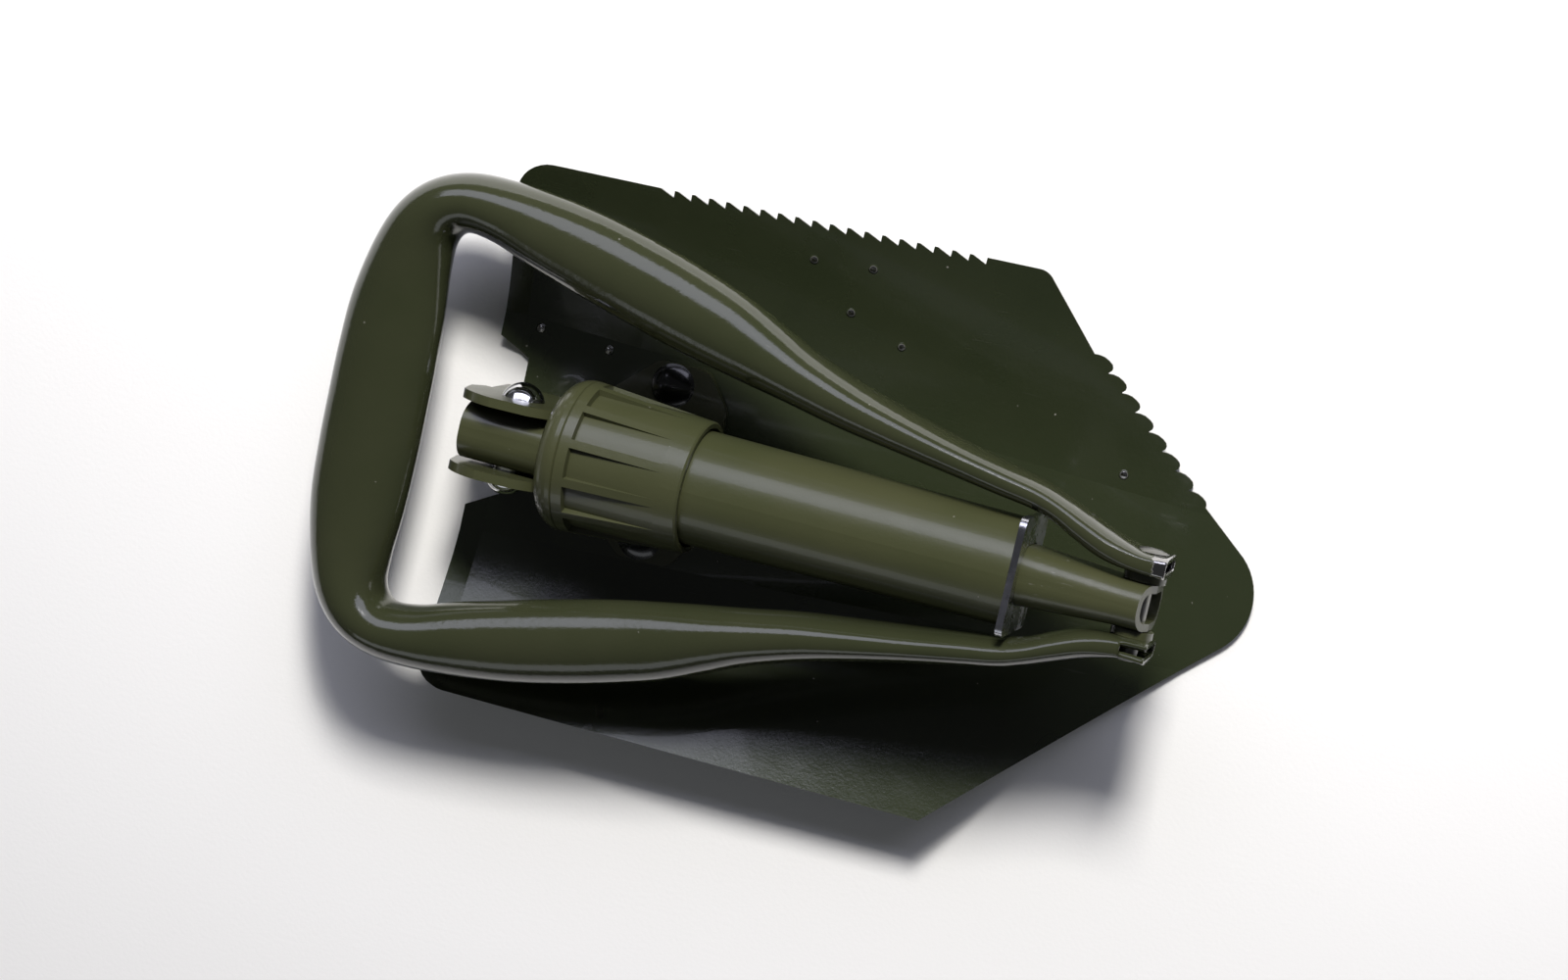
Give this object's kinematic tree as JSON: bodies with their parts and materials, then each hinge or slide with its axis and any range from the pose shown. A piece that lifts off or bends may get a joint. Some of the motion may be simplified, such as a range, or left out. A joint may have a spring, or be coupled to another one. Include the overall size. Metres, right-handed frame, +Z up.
{
  "type": "folding camp shovel",
  "caption": "Three-fold steel camp shovel: dished pointed blade with toothed edges, telescoping shaft, screw locking collar and triangular tube handle.",
  "frame": {"origin": "on the flat back of the blade, straight below the blade hinge, on the mirror plane", "axes": "+X from the grip to the blade tip as folded, +Y across the blade to its toothed side, +Z up out of the blade's hollow"},
  "size_m": [0.2527, 0.15, 0.0582],
  "materials": {
    "blade_paint": "glossy olive drab enamel",
    "bracket_paint": "glossy olive drab enamel",
    "tube_paint": "satin olive drab enamel",
    "collar_paint": "satin olive drab enamel",
    "handle_paint": "glossy olive drab enamel",
    "black_rivet": "gloss black",
    "polished_rivet": "polished",
    "plate_steel": "zinc plated",
    "inner_steel": "bare"
  },
  "bodies": {
    "blade_assembly": {"blade": "blade_paint", "blade_bracket": "bracket_paint", "bracket_rivet_1": "black_rivet", "bracket_rivet_2": "black_rivet", "bracket_rivet_3": "black_rivet", "blade_hinge_rivet": "polished_rivet"},
    "shaft": {"inner_tube": "tube_paint"},
    "sleeve": {"threaded_sleeve": "inner_steel", "outer_tube": "tube_paint", "end_plate": "plate_steel"},
    "collar_follower": {"thrust_washer": "inner_steel"},
    "collar": {"collar": "collar_paint", "collar_bush": "inner_steel"},
    "handle": {"handle_tube": "handle_paint", "handle_hinge_pin": "polished_rivet", "pivot_washer_left": "inner_steel", "pivot_washer_right": "inner_steel"}
  },
  "joints": [
    {"name": "blade_fold", "type": "hinge", "parent": "blade_assembly", "child": "shaft", "pos_m": [0, 0, 0.0277], "axis": [0, -1, 0], "range_deg": [0, 166.6]},
    {"name": "handle_fold", "type": "hinge", "parent": "shaft", "child": "handle", "pos_m": [0.17083, 0, 0.04777], "axis": [0, 1, 0], "range_deg": [0, 181]},
    {"name": "sleeve_slide", "type": "slide", "parent": "shaft", "child": "sleeve", "axis": [0.9932, 0, 0.1167], "range_m": [0, 0.024]},
    {"name": "collar_travel", "type": "slide", "parent": "shaft", "child": "collar_follower", "axis": [0.9932, 0, 0.1167], "range_m": [0, 0.0031]},
    {"name": "collar_turn", "type": "hinge", "parent": "collar_follower", "child": "collar", "pos_m": [0, 0, 0.0277], "axis": [0.9932, 0, 0.1167], "range_deg": [0, 270]}
  ],
  "couplings": [
    {"joint": "blade_fold", "follows": "handle_fold", "ratio": 0.9204},
    {"joint": "sleeve_slide", "follows": "handle_fold", "m_per_rad": 0.00752},
    {"joint": "collar_travel", "follows": "collar_turn", "m_per_rad": 0.00063662}
  ]
}
